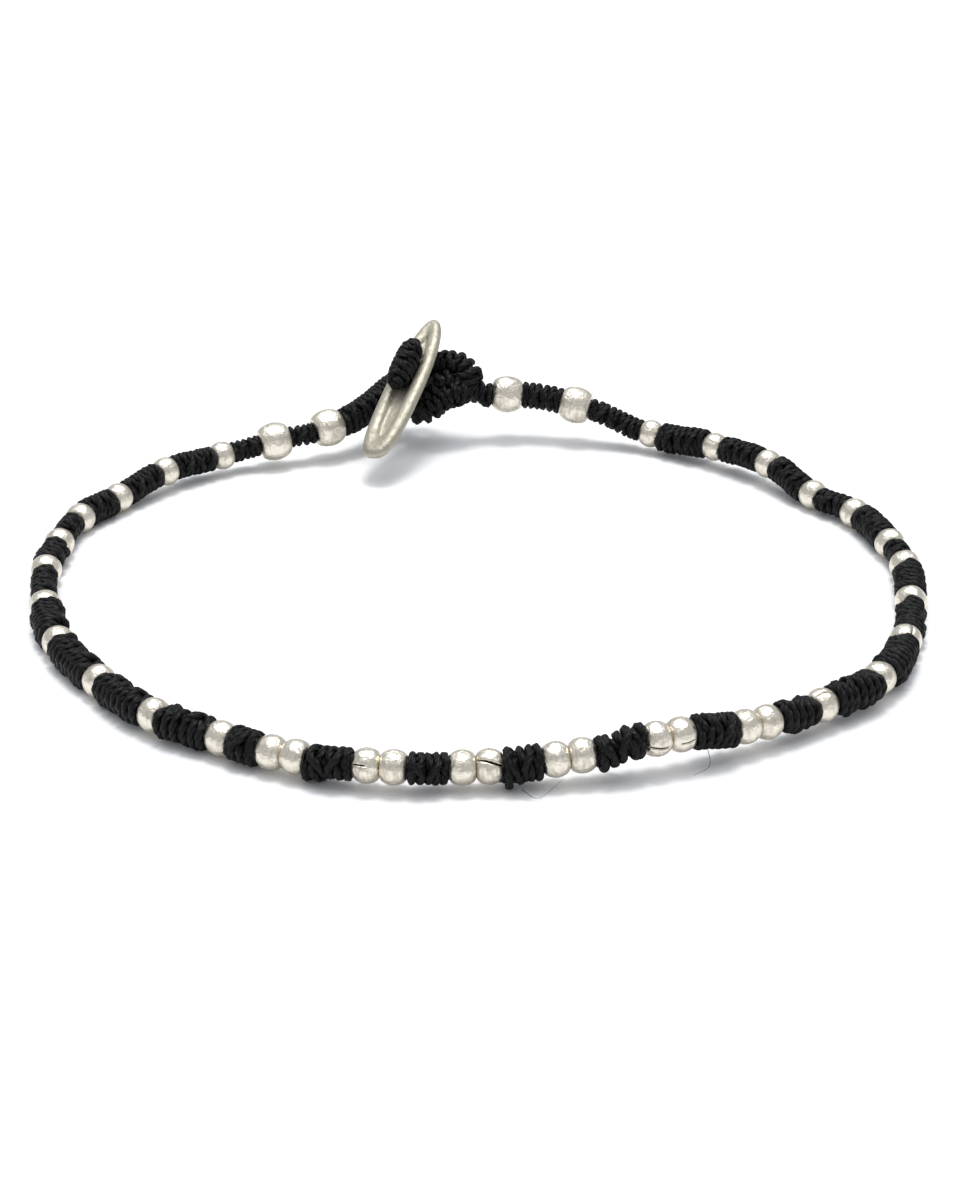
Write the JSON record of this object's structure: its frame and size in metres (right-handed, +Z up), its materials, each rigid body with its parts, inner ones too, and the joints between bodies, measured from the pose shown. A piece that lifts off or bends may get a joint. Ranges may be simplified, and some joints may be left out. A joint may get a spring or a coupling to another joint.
{
  "type": "beaded bracelet",
  "caption": "Knotted waxed-cord bracelet with round silver beads, closed by an oval button in a cord eye, lying flat.",
  "frame": {"origin": "middle of the outer box, on the surface that the bracelet lies on", "axes": "+Z up from the surface, +Y towards the clasp, -Y towards the pairs of beads at the front"},
  "size_m": [0.0594, 0.0596, 0.0089],
  "materials": {
    "silver": "satin",
    "waxed_cord": "waxed"
  },
  "bodies": {
    "root": {"large_bead_01": "silver", "large_bead_02": "silver", "large_bead_03": "silver", "large_bead_04": "silver", "small_bead_01": "silver", "small_bead_02": "silver", "small_bead_03": "silver", "small_bead_04": "silver", "small_bead_05": "silver", "small_bead_06": "silver", "small_bead_07": "silver", "small_bead_08": "silver", "small_bead_09": "silver", "small_bead_10": "silver", "small_bead_11": "silver", "small_bead_12": "silver", "small_bead_13": "silver", "small_bead_14": "silver", "small_bead_15": "silver", "small_bead_16": "silver", "small_bead_17": "silver", "small_bead_18": "silver", "small_bead_19": "silver", "small_bead_20": "silver", "small_bead_21": "silver", "small_bead_22": "silver", "small_bead_23": "silver", "small_bead_24": "silver", "small_bead_25": "silver", "small_bead_26": "silver", "small_bead_27": "silver", "small_bead_28": "silver", "small_bead_29": "silver", "small_bead_30": "silver", "small_bead_31": "silver", "small_bead_32": "silver", "small_bead_33": "silver", "small_bead_34": "silver", "toggle_button": "silver", "knotted_cord": "waxed_cord", "closing_eye": "waxed_cord", "button_stitch": "waxed_cord"}
  },
  "joints": []
}
